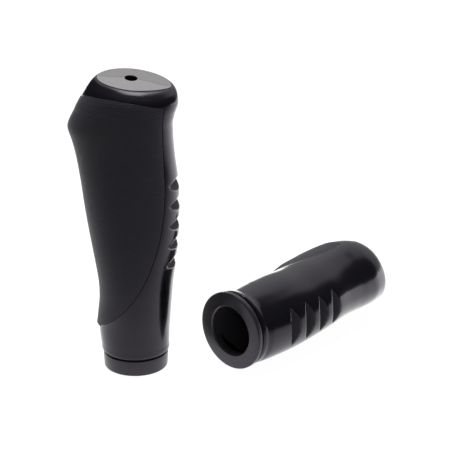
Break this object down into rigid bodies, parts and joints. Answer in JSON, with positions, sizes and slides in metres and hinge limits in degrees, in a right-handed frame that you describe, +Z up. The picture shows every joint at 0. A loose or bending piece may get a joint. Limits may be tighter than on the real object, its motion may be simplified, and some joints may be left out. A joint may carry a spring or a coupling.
{
  "type": "handlebar grip pair",
  "caption": "Pair of ergonomic bicycle handlebar grips with palm wings, finger notches and inset palm pads: a long one standing and a short flanged one lying down.",
  "frame": {"origin": "middle of the pair's box on the surface that both grips stand and lie on", "axes": "+Z up, along the long grip's bore towards its closed end; +Y along the short grip's bore towards its closed end; +X towards the short grip's finger side"},
  "size_m": [0.0764, 0.1375, 0.1326],
  "materials": {
    "glossy_rubber": "glossy moulded black rubber",
    "matte_rubber": "matte, finely ribbed black rubber",
    "sleeve_plastic": "satin moulded black plastic"
  },
  "bodies": {
    "long_grip": {"long_grip_core_sleeve": "sleeve_plastic", "long_grip_body": "glossy_rubber", "long_grip_palm_pad": "matte_rubber"},
    "short_grip": {"short_grip_core_sleeve": "sleeve_plastic", "short_grip_body": "glossy_rubber", "short_grip_palm_pad": "matte_rubber"}
  },
  "joints": [
    {"name": "short_grip_lift", "type": "slide", "parent": "long_grip", "child": "short_grip", "axis": [0, 0, 1], "range_m": [0, 0.15]}
  ]
}
